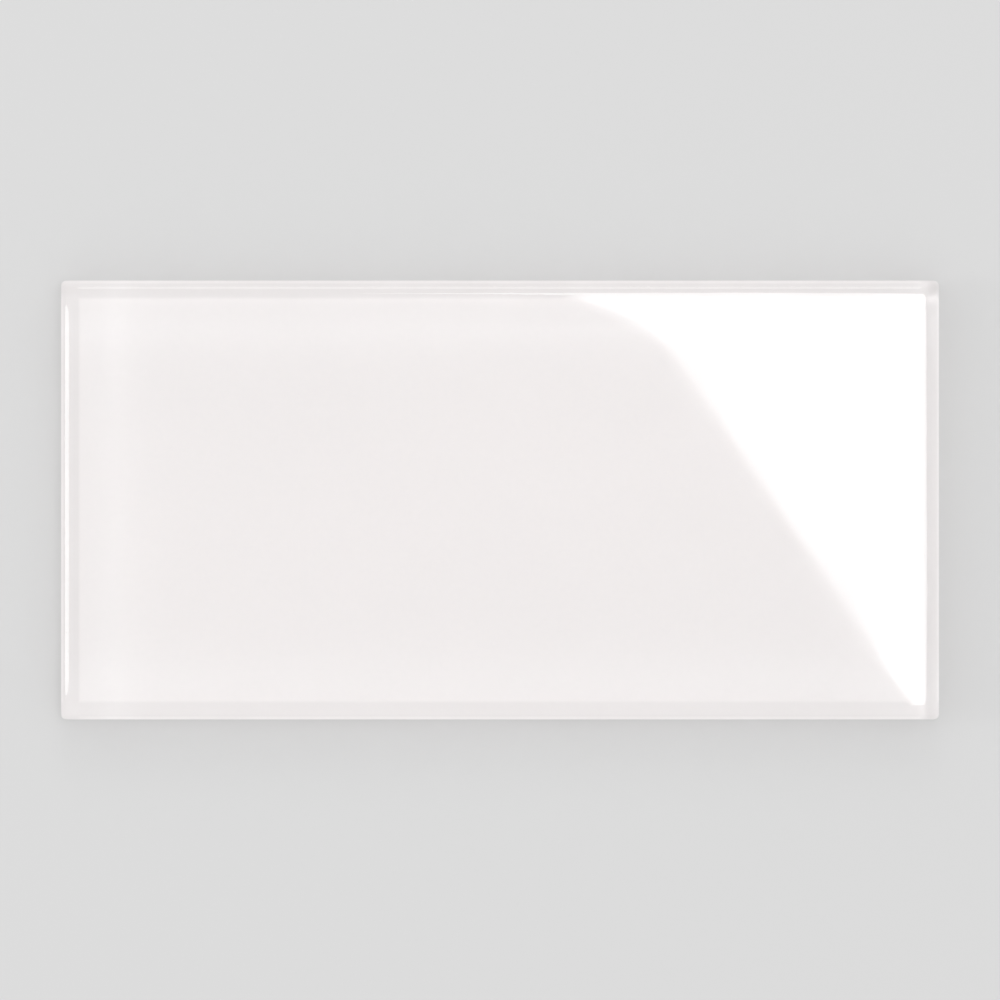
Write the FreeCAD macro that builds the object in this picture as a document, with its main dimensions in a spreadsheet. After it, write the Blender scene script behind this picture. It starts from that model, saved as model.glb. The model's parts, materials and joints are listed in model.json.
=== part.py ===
import FreeCAD, Part
from enum import IntEnum
import math
import os
import Sketcher

# Glass wall tile of the 3 by 6 inch format, lying face up.
# The body is one clear slab with a softly crowned face and fire-polished edges.
# Its colour is a thin opaque coat on the back, seen through the glass.
# Origin at the middle of the underside, X along the length, Z out of the face.

SIZES = {
    "tile_length": 152.4,
    "tile_width": 76.2,
    "tile_thickness": 8.0,
    "corner_radius": 1.0,  # of the outline, seen from the face
    "crown_width": 10.5,  # band along each edge where the face falls away
    "crown_drop": 0.1,  # fall over that band
    "edge_radius": 2.4,  # polished edge between face and walls
    "back_bevel": 0.4,  # ground bevel along the back edges
    "coat_thickness": 0.2,
    "coat_margin": 0.8,  # bare glass left round the coat
    "coat_corner_radius": 0.8,
    "cutter_overrun": 0.5,  # how far the crown's cutter runs past the walls
}
GLASS_THICKNESS = "(sizes.tile_thickness - sizes.coat_thickness)"
CROWN_RADIUS = "((sizes.crown_width^2 + sizes.crown_drop^2) / (2 * sizes.crown_drop))"
CUTTER_REACH = "(sizes.crown_width + sizes.cutter_overrun)"
CUTTER_DROP = f"({CROWN_RADIUS} - sqrt({CROWN_RADIUS}^2 - {CUTTER_REACH}^2))"
CUTTER_HEADROOM = 3.0
LEVEL_TOLERANCE = 0.01


class Point(IntEnum):
    """Sketcher's numbers for the points of a line or an arc."""

    START = 1
    END = 2


class Axis(IntEnum):
    """Sketcher's numbers for a sketch's own axes."""

    LEVEL = -1
    UPRIGHT = -2


START, END = Point.START, Point.END
ORIGIN = (Axis.LEVEL, START)


def add_sheet(doc):
    sheet = doc.addObject("Spreadsheet::Sheet", "sizes")
    for row, (name, value) in enumerate(SIZES.items(), start=1):
        sheet.set(f"A{row}", name)
        sheet.set(f"B{row}", str(value))
        sheet.setAlias(f"B{row}", name)
    doc.recompute()
    return sheet


def add_sketch(body, name, role):
    sketch = body.newObject("Sketcher::SketchObject", name)
    plane = next(f for f in body.Origin.OriginFeatures if f.Role == role)
    sketch.AttachmentSupport = [(plane, "")]
    sketch.MapMode = "FlatFace"
    return sketch


def bind(sketch, name, expression, *constraint):
    """Adds a dimension to the sketch and ties it to the sheet."""
    index = sketch.addConstraint(Sketcher.Constraint(*constraint))
    sketch.renameConstraint(index, name)
    sketch.setExpression(f"Constraints.{name}", expression)


def draw_rectangle(sketch, length, width, length_binding, width_binding):
    """Four lines about the origin, counterclockwise from the lower side."""
    corners = []
    for side_x, side_y in ((-1, -1), (1, -1), (1, 1), (-1, 1)):
        corners.append(FreeCAD.Vector(side_x * length / 2, side_y * width / 2, 0))
    lines = []
    for turn, corner in enumerate(corners):
        lines.append(sketch.addGeometry(Part.LineSegment(corner, corners[(turn + 1) % 4])))
    for turn, line in enumerate(lines):
        following = lines[(turn + 1) % 4]
        sketch.addConstraint(Sketcher.Constraint("Coincident", line, END, following, START))
    lower, right, upper, left = lines
    for line in (lower, upper):
        sketch.addConstraint(Sketcher.Constraint("Horizontal", line))
    for line in (right, left):
        sketch.addConstraint(Sketcher.Constraint("Vertical", line))
    sketch.addConstraint(Sketcher.Constraint("Symmetric", lower, START, upper, START, *ORIGIN))
    bind(sketch, "length", length_binding, "DistanceX", lower, START, lower, END, length)
    bind(sketch, "width", width_binding, "DistanceY", right, START, right, END, width)


def draw_crown_line(sketch, span, height, span_binding, height_binding):
    """A level line that ends in a wide falling arc at each side, past both walls."""
    radius = (SIZES["crown_width"] ** 2 + SIZES["crown_drop"] ** 2) / (2 * SIZES["crown_drop"])
    level = span / 2 - SIZES["crown_width"]
    reach = SIZES["crown_width"] + SIZES["cutter_overrun"]

    def falling_arc(side):
        points = []
        for share in (0.0, 0.5, 1.0):
            drop = radius - math.sqrt(radius**2 - (share * reach) ** 2)
            points.append(FreeCAD.Vector(side * (level + share * reach), height - drop, 0))
        return points

    left = sketch.addGeometry(Part.Arc(*reversed(falling_arc(-1))))
    middle = sketch.addGeometry(
        Part.LineSegment(FreeCAD.Vector(-level, height, 0), FreeCAD.Vector(level, height, 0))
    )
    right = sketch.addGeometry(Part.Arc(*falling_arc(1)))
    # an arc always runs counterclockwise, so both of these start at their right-hand end
    sketch.addConstraint(Sketcher.Constraint("Tangent", left, START, middle, START))
    sketch.addConstraint(Sketcher.Constraint("Tangent", middle, END, right, END))
    sketch.addConstraint(
        Sketcher.Constraint("Symmetric", middle, START, middle, END, Axis.UPRIGHT)
    )
    sketch.addConstraint(Sketcher.Constraint("Equal", left, right))
    bind(sketch, "radius", CROWN_RADIUS, "Radius", left, radius)
    bind(
        sketch,
        "level_part",
        f"{span_binding} - 2 * sizes.crown_width",
        "DistanceX",
        middle,
        START,
        middle,
        END,
        2 * level,
    )
    bind(sketch, "height", height_binding, "DistanceY", *ORIGIN, middle, START, height)
    reach_binding = f"{span_binding} / 2 + sizes.cutter_overrun"
    bind(sketch, "right_end", reach_binding, "DistanceX", *ORIGIN, right, START, level + reach)
    bind(sketch, "left_end", reach_binding, "DistanceX", left, END, *ORIGIN, level + reach)
    return left, right


def close_above(sketch, left, right, span, height, height_binding):
    """Closes a crown line with two uprights and a level line well above the face."""
    reach = span / 2 + SIZES["cutter_overrun"]
    top = height + CUTTER_HEADROOM
    corners = [
        FreeCAD.Vector(reach, height, 0),
        FreeCAD.Vector(reach, top, 0),
        FreeCAD.Vector(-reach, top, 0),
        FreeCAD.Vector(-reach, height, 0),
    ]
    lines = []
    for start, end in zip(corners, corners[1:]):
        lines.append(sketch.addGeometry(Part.LineSegment(start, end)))
    right_upright, lid, left_upright = lines
    for first, first_end, second in (
        (right, START, right_upright),
        (right_upright, END, lid),
        (lid, END, left_upright),
    ):
        sketch.addConstraint(Sketcher.Constraint("Coincident", first, first_end, second, START))
    sketch.addConstraint(Sketcher.Constraint("Coincident", left_upright, END, left, END))
    sketch.addConstraint(Sketcher.Constraint("Vertical", right_upright))
    sketch.addConstraint(Sketcher.Constraint("Vertical", left_upright))
    sketch.addConstraint(Sketcher.Constraint("Horizontal", lid))
    bind(sketch, "lid_height", height_binding, "DistanceY", *ORIGIN, lid, START, top)


def is_wall(face):
    u_low, u_high, v_low, v_high = face.ParameterRange
    normal = face.normalAt((u_low + u_high) / 2, (v_low + v_high) / 2)
    return abs(normal.z) < LEVEL_TOLERANCE


def walls_at(shape, edge):
    return [face for face in shape.ancestorsOfType(edge, Part.Face) if is_wall(face)]


def rim_edges(shape, above):
    """Numbers of the edges where the walls meet the face, or else the back."""
    middle = (shape.BoundBox.ZMin + shape.BoundBox.ZMax) / 2
    numbers = []
    for number, edge in enumerate(shape.Edges, start=1):
        if len(walls_at(shape, edge)) == 1 and (edge.CenterOfMass.z > middle) == above:
            numbers.append(number)
    return numbers


def corner_edges(shape):
    """Numbers of the edges where two walls meet."""
    return [
        number
        for number, edge in enumerate(shape.Edges, start=1)
        if len(walls_at(shape, edge)) == 2
    ]


def make_glass_body(doc):
    length = SIZES["tile_length"]
    width = SIZES["tile_width"]
    thickness = SIZES["tile_thickness"] - SIZES["coat_thickness"]
    body = doc.addObject("PartDesign::Body", "crowned_slab")
    body.setExpression("Placement.Base.z", "sizes.coat_thickness")

    outline = add_sketch(body, "outline", "XY_Plane")
    draw_rectangle(outline, length, width, "sizes.tile_length", "sizes.tile_width")
    slab = body.newObject("PartDesign::Pad", "slab")
    slab.Profile = outline
    slab.setExpression("Length", GLASS_THICKNESS)

    # The face falls away by the same small arc along all four sides,
    # so its cutter is the crown across the tile, carried along the crown of its length.
    along = add_sketch(body, "crown_along", "XZ_Plane")
    draw_crown_line(along, length, thickness, "sizes.tile_length", GLASS_THICKNESS)
    across = add_sketch(body, "crown_across", "YZ_Plane")
    left, right = draw_crown_line(across, width, thickness, "sizes.tile_width", GLASS_THICKNESS)
    lid_height = f"{GLASS_THICKNESS} + {CUTTER_HEADROOM}"
    close_above(across, left, right, width, thickness, lid_height)
    across.setExpression("AttachmentOffset.Base.y", f"-{CUTTER_DROP}")
    across.setExpression(
        "AttachmentOffset.Base.z", "-(sizes.tile_length / 2 + sizes.cutter_overrun)"
    )
    doc.recompute()
    crown = body.newObject("PartDesign::SubtractivePipe", "crown")
    crown.Profile = across
    crown.Spine = (along, [""])
    crown.Mode = "Fixed"
    doc.recompute()

    # One rounding for face edges and corners, so that they flow into each other:
    # the corners are tighter than the edge of the face.
    polish = doc.addObject("Part::Fillet", "polished_edges")
    polish.Base = body
    edge_radius = SIZES["edge_radius"]
    corner_radius = SIZES["corner_radius"]
    polish.Edges = [
        (number, edge_radius, edge_radius) for number in rim_edges(body.Shape, above=True)
    ] + [(number, corner_radius, corner_radius) for number in corner_edges(body.Shape)]
    doc.recompute()

    glass = doc.addObject("Part::Chamfer", "glass_body")
    glass.Label = "glass_body"
    glass.Base = polish
    back_bevel = SIZES["back_bevel"]
    glass.Edges = [
        (number, back_bevel, back_bevel) for number in rim_edges(polish.Shape, above=False)
    ]
    doc.recompute()
    check_cut([slab.Shape, crown.Shape, polish.Shape, glass.Shape])
    return glass


def make_back_coat(doc):
    margin = SIZES["coat_margin"]
    body = doc.addObject("PartDesign::Body", "back_coat")
    body.Label = "back_coat"
    outline = add_sketch(body, "coat_outline", "XY_Plane")
    draw_rectangle(
        outline,
        SIZES["tile_length"] - 2 * margin,
        SIZES["tile_width"] - 2 * margin,
        "sizes.tile_length - 2 * sizes.coat_margin",
        "sizes.tile_width - 2 * sizes.coat_margin",
    )
    film = body.newObject("PartDesign::Pad", "film")
    film.Profile = outline
    film.setExpression("Length", "sizes.coat_thickness")
    doc.recompute()
    corners = body.newObject("PartDesign::Fillet", "coat_corners")
    corners.Base = (film, [f"Edge{number}" for number in corner_edges(film.Shape)])
    corners.setExpression("Radius", "sizes.coat_corner_radius")
    doc.recompute()
    check_cut([film.Shape, corners.Shape])
    return body


def check_cut(stages):
    """Every stage takes material away from the one before it."""
    volumes = [shape.Volume for shape in stages]
    for before, after in zip(volumes, volumes[1:]):
        if after >= before:
            raise RuntimeError(f"a cut took nothing away: {volumes}")


def check_document(doc, pieces):
    for thing in doc.Objects:
        bad = [word for word in thing.State if word in ("Invalid", "Error")]
        if bad:
            raise RuntimeError(f"{thing.Name} is {bad}")
    for piece in pieces:
        shape = piece.Shape
        if shape.isNull() or not shape.isValid() or len(shape.Solids) != 1:
            raise RuntimeError(f"{piece.Label} isn't one valid solid")


def export(pieces):
    os.makedirs("parts", exist_ok=True)
    for piece in pieces:
        piece.Shape.exportStep(f"parts/{piece.Label}.step")
        print(piece.Label, round(piece.Shape.Volume, 3), "mm3")


document = FreeCAD.newDocument("glass_tile")
add_sheet(document)
glass_body = make_glass_body(document)
back_coat = make_back_coat(document)
document.recompute()
check_document(document, [glass_body, back_coat])
export([glass_body, back_coat])
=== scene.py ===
import bmesh
import bpy
import json
import math
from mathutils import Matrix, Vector

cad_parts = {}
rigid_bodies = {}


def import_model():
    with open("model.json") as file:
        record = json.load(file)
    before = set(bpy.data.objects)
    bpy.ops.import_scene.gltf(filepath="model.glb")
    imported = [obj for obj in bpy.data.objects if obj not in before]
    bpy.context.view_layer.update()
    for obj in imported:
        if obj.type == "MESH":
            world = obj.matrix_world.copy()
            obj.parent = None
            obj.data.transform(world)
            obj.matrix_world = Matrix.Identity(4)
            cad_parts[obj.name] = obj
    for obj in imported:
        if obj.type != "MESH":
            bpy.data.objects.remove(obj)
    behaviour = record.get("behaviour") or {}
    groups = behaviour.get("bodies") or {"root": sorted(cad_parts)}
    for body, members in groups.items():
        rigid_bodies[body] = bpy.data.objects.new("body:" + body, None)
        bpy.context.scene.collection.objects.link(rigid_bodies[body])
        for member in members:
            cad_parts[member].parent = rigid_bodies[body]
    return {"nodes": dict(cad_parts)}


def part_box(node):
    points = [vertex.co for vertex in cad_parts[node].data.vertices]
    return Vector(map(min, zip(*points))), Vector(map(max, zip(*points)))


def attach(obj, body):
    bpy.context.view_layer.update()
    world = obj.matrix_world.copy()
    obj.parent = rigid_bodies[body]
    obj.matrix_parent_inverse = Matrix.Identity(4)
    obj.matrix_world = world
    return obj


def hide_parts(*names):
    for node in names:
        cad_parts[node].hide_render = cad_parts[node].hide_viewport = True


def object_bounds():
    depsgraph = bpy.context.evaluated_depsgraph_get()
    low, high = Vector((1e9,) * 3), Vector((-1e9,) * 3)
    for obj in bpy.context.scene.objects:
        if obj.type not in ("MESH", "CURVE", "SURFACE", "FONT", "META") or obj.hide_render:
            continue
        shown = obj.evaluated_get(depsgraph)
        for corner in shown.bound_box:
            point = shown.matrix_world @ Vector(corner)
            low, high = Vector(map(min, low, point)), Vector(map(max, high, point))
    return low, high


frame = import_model()
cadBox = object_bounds()
print("frame loaded:", sorted(frame["nodes"]))

mm = 0.001
hair = 0.01 * mm  # heights that differ by less count as the same
rowDigits = 7  # rows are told apart to this many digits of a metre
smoothAngle = math.radians(35)


# small helpers for meshes

def startPiece(name, low, high):
    bpy.ops.object.select_all(action="DESELECT")
    bpy.ops.mesh.primitive_cube_add(size=1, location=(low + high) / 2)
    piece = bpy.context.active_object
    piece.name = name
    piece.data.name = name
    piece.scale = high - low
    bpy.ops.object.transform_apply(location=True, rotation=True, scale=True)
    return piece


def selectEdges(piece, wanted):
    bpy.ops.mesh.select_all(action="DESELECT")
    bpy.ops.mesh.select_mode(type="EDGE")
    mesh = bmesh.from_edit_mesh(piece.data)
    for edge in mesh.edges:
        edge.select_set(wanted(edge))
    mesh.select_flush_mode()
    bmesh.update_edit_mesh(piece.data)


def selectPoints(piece, wanted):
    bpy.ops.mesh.select_all(action="DESELECT")
    bpy.ops.mesh.select_mode(type="VERT")
    mesh = bmesh.from_edit_mesh(piece.data)
    for point in mesh.verts:
        point.select_set(wanted(point.co))
    mesh.select_flush_mode()
    bmesh.update_edit_mesh(piece.data)


def isUpright(edge):
    return abs(edge.verts[0].co.z - edge.verts[1].co.z) > hair


def isBackRim(edge):
    # an edge of the back joins one upright wall to the level underside
    levelTilt, uprightTilt = -0.8, 0.2
    tilts = sorted(face.normal.z for face in edge.link_faces)
    return len(tilts) == 2 and tilts[0] < levelTilt and abs(tilts[1]) < uprightTilt


def roundCorners(piece, radius, segments):
    selectEdges(piece, isUpright)
    bpy.ops.mesh.bevel(offset=radius, segments=segments, affect="EDGES")


def finishPiece(piece, material, replaced):
    bpy.ops.object.select_all(action="DESELECT")
    piece.select_set(True)
    bpy.context.view_layer.objects.active = piece
    bpy.ops.object.shade_smooth_by_angle(angle=smoothAngle)
    piece.data.materials.clear()
    piece.data.materials.append(material)
    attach(piece, "root")
    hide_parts(replaced)


# small helpers for materials

def newMaterial(name):
    material = bpy.data.materials.new(name)
    material.use_nodes = True
    nodes = material.node_tree.nodes
    return material, nodes, material.node_tree.links, nodes["Principled BSDF"]


def nodePlace(nodes, links):
    # the place on the piece, whole and split into its three axes
    place = nodes.new("ShaderNodeTexCoord").outputs["Object"]
    axes = nodes.new("ShaderNodeSeparateXYZ")
    links.new(place, axes.inputs["Vector"])
    return place, axes.outputs


def nodeMath(nodes, links, operation, first, second=0):
    node = nodes.new("ShaderNodeMath")
    node.operation = operation
    for socket, value in zip(node.inputs, (first, second)):
        if isinstance(value, (int, float)):
            socket.default_value = value
        else:
            links.new(value, socket)
    return node.outputs[0]


def nodeRange(nodes, links, value, source, target):
    node = nodes.new("ShaderNodeMapRange")
    links.new(value, node.inputs["Value"])
    node.inputs["From Min"].default_value, node.inputs["From Max"].default_value = source
    node.inputs["To Min"].default_value, node.inputs["To Max"].default_value = target
    return node.outputs["Result"]


def nodeMix(nodes, links, factor, first, second):
    node = nodes.new("ShaderNodeMix")
    node.data_type = "RGBA"
    links.new(factor, node.inputs[0])
    for socket, value in zip((node.inputs[6], node.inputs[7]), (first, second)):
        if isinstance(value, tuple):
            socket.default_value = value
        else:
            links.new(value, socket)
    return node.outputs[2]


def nodeNoise(nodes, links, place, size, detail):
    node = nodes.new("ShaderNodeTexNoise")
    node.inputs["Scale"].default_value = 1 / size
    node.inputs["Detail"].default_value = detail
    links.new(place, node.inputs["Vector"])
    return node.outputs["Fac"]


def nodeBump(nodes, links, height, distance, shader):
    node = nodes.new("ShaderNodeBump")
    node.inputs["Distance"].default_value = distance
    links.new(height, node.inputs["Height"])
    links.new(node.outputs["Normal"], shader.inputs["Normal"])


# glass body: a clear slab with a softly crowned face and fire-polished edges

glassBody = {
    "cornerRadius": 1.0 * mm,
    "cornerSegments": 8,
    "edgeRadius": 2.4 * mm,
    "edgeRings": 16,
    "crownWidth": 12 * mm,  # band along each edge where the face falls away
    "crownDrop": 0.1 * mm,
    "crownPower": 2.65,  # the fall starts gently and steepens towards the edge
    "crownCuts": 12,
    "crownMargin": 0.05 * mm,  # points this far below the fall still sink with the face
    "guard": 0.15 * mm,  # thin strips that keep the shading of curved and flat parts apart
    "flatGuard": 0.6 * mm,  # the same, round the flat middle of the face
    "backBevel": 0.4 * mm,
    "ior": 1.52,
    "tint": (0.80, 0.93, 0.87, 1),
    "tintDensity": 1.2,
    "waveSize": 45 * mm,
    "waveHeight": 0.004 * mm,
    "waveDetail": 1,
    "hazeSize": 9 * mm,
    "hazeDetail": 2,
    "hazeSpan": (0.3, 0.7),  # part of the noise that the haze is spread over
    "haze": (0.028, 0.042),  # roughness of the polished faces, from place to place
    "groundTop": 0.6 * mm,  # the bevel round the back is ground, not polished
    "groundFade": 0.1 * mm,
    "groundRoughness": 0.4,
}


def makeGlassMaterial():
    material, nodes, links, shader = newMaterial("clearGlass")
    shader.inputs["Base Color"].default_value = (1, 1, 1, 1)
    shader.inputs["Transmission Weight"].default_value = 1
    shader.inputs["IOR"].default_value = glassBody["ior"]
    place, axes = nodePlace(nodes, links)
    wave = nodeNoise(nodes, links, place, glassBody["waveSize"], glassBody["waveDetail"])
    nodeBump(nodes, links, wave, glassBody["waveHeight"], shader)
    cloud = nodeNoise(nodes, links, place, glassBody["hazeSize"], glassBody["hazeDetail"])
    haze = nodeRange(nodes, links, cloud, glassBody["hazeSpan"], glassBody["haze"])
    fade = (glassBody["groundTop"], glassBody["groundTop"] + glassBody["groundFade"])
    ground = nodeRange(nodes, links, axes["Z"], fade, (glassBody["groundRoughness"], 0))
    links.new(nodeMath(nodes, links, "MAXIMUM", haze, ground), shader.inputs["Roughness"])
    absorb = nodes.new("ShaderNodeVolumeAbsorption")
    absorb.inputs["Color"].default_value = glassBody["tint"]
    absorb.inputs["Density"].default_value = glassBody["tintDensity"]
    links.new(absorb.outputs["Volume"], nodes["Material Output"].inputs["Volume"])
    return material


def crownFall(inset):
    share = max(0, 1 - inset / glassBody["crownWidth"])
    return glassBody["crownDrop"] * share ** glassBody["crownPower"]


def raiseRings(half):
    # the selected top rises along a quarter circle, ring by ring, each ring a little smaller
    radius = glassBody["edgeRadius"]
    rings = glassBody["edgeRings"]
    turns = [math.pi / 2 * ring / rings for ring in range(1, rings + 1)]
    places = [(radius * (1 - math.cos(turn)), radius * math.sin(turn)) for turn in turns]
    places.append((radius + glassBody["guard"], radius))
    inset, height = 0, 0
    for nextInset, nextHeight in places:
        rise = (0, 0, nextHeight - height)
        bpy.ops.mesh.extrude_region_move(TRANSFORM_OT_translate={"value": rise})
        shrinkX = (half.x - nextInset) / (half.x - inset)
        shrinkY = (half.y - nextInset) / (half.y - inset)
        bpy.ops.transform.resize(value=(shrinkX, shrinkY, 1), center_override=(0, 0, 0))
        inset, height = nextInset, nextHeight


def cutRows(half):
    # rows of points along all four edges, where the face falls away
    width, cuts = glassBody["crownWidth"], glassBody["crownCuts"]
    first = glassBody["edgeRadius"] + glassBody["cornerRadius"] + glassBody["guard"]
    insets = [first + (width - first) * cut / cuts for cut in range(cuts + 1)]
    insets.append(width + glassBody["flatGuard"])
    for axis in (0, 1):
        for inset in insets:
            for side in (-1, 1):
                across = Vector((0, 0, 0))
                across[axis] = side
                bpy.ops.mesh.select_all(action="SELECT")
                bpy.ops.mesh.bisect(plane_co=across * (half[axis] - inset), plane_no=across)


def lowerRows(piece, axis, half, bottom):
    # every row of the face sinks by the crown's fall at its distance from the edge
    mesh = bmesh.from_edit_mesh(piece.data)
    heights = [(round(abs(point.co[axis]), rowDigits), point.co.z) for point in mesh.verts]
    for row in sorted({reach for reach, height in heights if height > bottom}):
        fall = crownFall(half[axis] - row)
        if fall > 0:
            selectPoints(piece, lambda co: co.z > bottom and round(abs(co[axis]), rowDigits) == row)
            bpy.ops.transform.translate(value=(0, 0, -fall))


def makeGlassBody():
    low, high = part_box("glass_body")
    wallTop = high.z - glassBody["edgeRadius"]
    guardTop = wallTop - glassBody["crownDrop"] - glassBody["guard"]
    faceBottom = wallTop - glassBody["crownDrop"] - glassBody["crownMargin"]
    piece = startPiece("glassBody", low, Vector((high.x, high.y, wallTop)))
    bpy.ops.object.mode_set(mode="EDIT")
    roundCorners(piece, glassBody["cornerRadius"], glassBody["cornerSegments"])
    bpy.ops.mesh.select_all(action="SELECT")
    bpy.ops.mesh.bisect(plane_co=(0, 0, guardTop), plane_no=(0, 0, 1))
    selectPoints(piece, lambda co: co.z > wallTop - hair)
    raiseRings(high)
    cutRows(high)
    for axis in (0, 1):
        lowerRows(piece, axis, high, faceBottom)
    selectEdges(piece, isBackRim)
    bpy.ops.mesh.bevel(offset=glassBody["backBevel"], segments=1, affect="EDGES")
    bpy.ops.object.mode_set(mode="OBJECT")
    finishPiece(piece, makeGlassMaterial(), "glass_body")
    print("glass body:", len(piece.data.polygons), "faces")


# back coat: a thin white film, seen through the glass

backCoat = {
    "cornerRadius": 0.8 * mm,
    "cornerSegments": 6,
    "bond": 0.02 * mm,  # the film keys this far into the glass, so no air lies between them
    "white": (0.94, 0.912, 0.911, 1),
    "shade": (0.925, 0.9, 0.9, 1),
    "bandShade": (0.865, 0.842, 0.842, 1),
    "band": 2.0 * mm,  # painted shade: the film's white is darkened in a band along its outline, standing in for the dimmer light under the rounded rims
    "bandFade": 0.5 * mm,
    "cloudSize": 38 * mm,
    "cloudDetail": 2,
    "stippleSize": 0.9 * mm,
    "stippleDetail": 3,
    "stippleHeight": 0.012 * mm,
    "shadeSpan": (0.35, 0.65),  # part of each noise that goes from white to shade
    "shadeShare": (0, 0.5),  # clouds and stipple give half of the shade each
    "roughSpan": (0.3, 0.7),
    "roughness": (0.5, 0.7),
    "specular": 0.1,
}


def makeCoatMaterial(half):
    material, nodes, links, shader = newMaterial("whiteCoat")
    shader.inputs["Specular IOR Level"].default_value = backCoat["specular"]
    place, axes = nodePlace(nodes, links)
    # the white is a little uneven in large soft clouds and in a fine stipple
    clouds = nodeNoise(nodes, links, place, backCoat["cloudSize"], backCoat["cloudDetail"])
    grain = nodeNoise(nodes, links, place, backCoat["stippleSize"], backCoat["stippleDetail"])
    span, share = backCoat["shadeSpan"], backCoat["shadeShare"]
    shares = [nodeRange(nodes, links, noise, span, share) for noise in (clouds, grain)]
    uneven = nodeMath(nodes, links, "ADD", *shares)
    white = nodeMix(nodes, links, uneven, backCoat["white"], backCoat["shade"])
    # how far a place lies past the outline, below zero inside it
    past = []
    for axis, reach in (("X", half.x), ("Y", half.y)):
        across = nodeMath(nodes, links, "ABSOLUTE", axes[axis])
        past.append(nodeMath(nodes, links, "SUBTRACT", across, reach))
    rim = nodeMath(nodes, links, "MAXIMUM", *past)
    fade = (-backCoat["band"] - backCoat["bandFade"], -backCoat["band"])
    # painted shade: darkens the film's white in a band along its outline, in place of the dimmer
    # light under the rounded rims
    paintedRimMask = nodeRange(nodes, links, rim, fade, (0, 1))
    colour = nodeMix(nodes, links, paintedRimMask, white, backCoat["bandShade"])
    links.new(colour, shader.inputs["Base Color"])
    rough = nodeRange(nodes, links, grain, backCoat["roughSpan"], backCoat["roughness"])
    links.new(rough, shader.inputs["Roughness"])
    nodeBump(nodes, links, grain, backCoat["stippleHeight"], shader)
    return material


def makeBackCoat():
    low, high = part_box("back_coat")
    high.z += backCoat["bond"]
    piece = startPiece("backCoat", low, high)
    bpy.ops.object.mode_set(mode="EDIT")
    roundCorners(piece, backCoat["cornerRadius"], backCoat["cornerSegments"])
    bpy.ops.object.mode_set(mode="OBJECT")
    finishPiece(piece, makeCoatMaterial(high), "back_coat")
    print("back coat:", len(piece.data.polygons), "faces")


# floor: plain, matte and pale

floorSetting = {
    "size": 6.0,
    "colour": (0.62, 0.62, 0.62, 1),
    "roughness": 0.9,
}


def makeFloor():
    bpy.ops.object.select_all(action="DESELECT")
    bpy.ops.mesh.primitive_plane_add(size=floorSetting["size"], location=(0, 0, 0))
    floor = bpy.context.active_object
    floor.name = "floor"
    material, nodes, links, shader = newMaterial("paleFloor")
    shader.inputs["Base Color"].default_value = floorSetting["colour"]
    shader.inputs["Roughness"].default_value = floorSetting["roughness"]
    shader.inputs["Specular IOR Level"].default_value = 0
    floor.data.materials.append(material)
    print("floor ready")


# lights and camera

studio = {
    "cameraHeight": 1.2,  # above the face
    "frameWidth": 152.4 * mm / 0.88,  # the tile's length fills 0.88 of the picture
    "sensor": 36,
    "clipStart": 0.01,
    "lightHeight": 1.0,
    "lightEdge": 39.0 * mm,  # where the main light's edge shows on the face, from its middle
    "lightTurn": math.radians(34.3),  # direction of the main light, from +X towards +Y
    "lightSize": (0.15, 0.38),
    "lightLevel": 4.5,  # radiance
    "sky": 1.04,
    "horizon": 0.5,
    "horizonTop": 0.35,  # the light is even from here up, as the sine of the angle
}

# side lights: direction round the tile and angle from straight up, in degrees
sideLights = {
    "leftStrip": {"turn": 180, "zenith": 68, "distance": 1.2, "size": (0.16, 0.75), "level": 4.4},
    "topStrip": {"turn": 90, "zenith": 56, "distance": 1.2, "size": (0.36, 0.4), "level": 1.5},
}


def makeAreaLight(name, place, aim, size, level):
    lamp = bpy.data.lights.new(name, "AREA")
    lamp.shape = "RECTANGLE"
    lamp.size, lamp.size_y = size
    lamp.energy = level * size[0] * size[1] * math.pi
    light = bpy.data.objects.new(name, lamp)
    bpy.context.scene.collection.objects.link(light)
    light.location = place
    light.rotation_mode = "QUATERNION"
    light.rotation_quaternion = (Vector(aim) - Vector(place)).to_track_quat("-Z", "Y")
    return light


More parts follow.
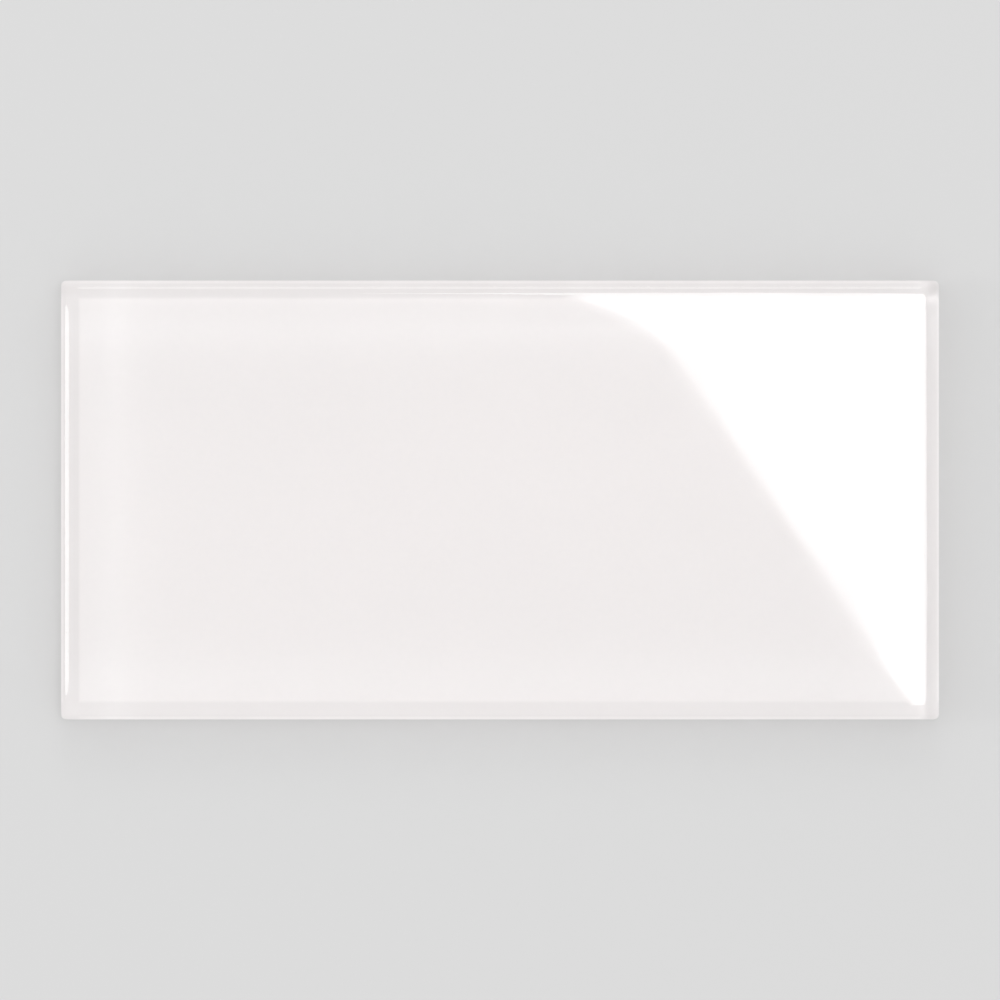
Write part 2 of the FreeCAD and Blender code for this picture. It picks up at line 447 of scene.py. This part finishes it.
def makeMainLight():
    # level above the tile and turned, so that its straight edge crosses the face
    turn, size = studio["lightTurn"], studio["lightSize"]
    spread = 1 + studio["lightHeight"] / studio["cameraHeight"]
    reach = studio["lightEdge"] * spread + size[0] / 2
    place = Vector((math.cos(turn) * reach, math.sin(turn) * reach, studio["lightHeight"]))
    below = place - Vector((0, 0, 1))
    light = makeAreaLight("mainSoftbox", place, below, size, studio["lightLevel"])
    light.rotation_mode = "XYZ"
    light.rotation_euler = (0, 0, turn)


def makeSideLight(name, light):
    turn, zenith = math.radians(light["turn"]), math.radians(light["zenith"])
    across, up = math.sin(zenith), math.cos(zenith)
    way = Vector((math.cos(turn) * across, math.sin(turn) * across, up))
    makeAreaLight(name, way * light["distance"], (0, 0, 0), light["size"], light["level"])


def makeWorld():
    # even white light, dimmer towards the horizon
    world = bpy.data.worlds.new("studio")
    bpy.context.scene.world = world
    world.use_nodes = True
    nodes, links = world.node_tree.nodes, world.node_tree.links
    axes = nodes.new("ShaderNodeSeparateXYZ")
    links.new(nodes.new("ShaderNodeTexCoord").outputs["Generated"], axes.inputs["Vector"])
    levels = (studio["horizon"], studio["sky"])
    level = nodeRange(nodes, links, axes.outputs["Z"], (0, studio["horizonTop"]), levels)
    nodes["Background"].inputs["Color"].default_value = (1, 1, 1, 1)
    links.new(level, nodes["Background"].inputs["Strength"])


def makeCamera():
    camera = bpy.data.objects.new("camera", bpy.data.cameras.new("camera"))
    camera.data.sensor_width = studio["sensor"]
    camera.data.lens = studio["sensor"] * studio["cameraHeight"] / studio["frameWidth"]
    camera.data.clip_start = studio["clipStart"]
    camera.location = (0, 0, studio["cameraHeight"] + cadBox[1].z)
    bpy.context.scene.collection.objects.link(camera)
    bpy.context.scene.camera = camera


def makeStudio():
    makeCamera()
    makeMainLight()
    for name, light in sideLights.items():
        makeSideLight(name, light)
    makeWorld()
    bpy.context.scene.view_settings.view_transform = "Standard"
    # light that has left a matte surface keeps its way through the clear glass
    bpy.context.scene.cycles.blur_glossy = 0
    print("studio ready")


makeGlassBody()
makeBackCoat()
makeFloor()
makeStudio()
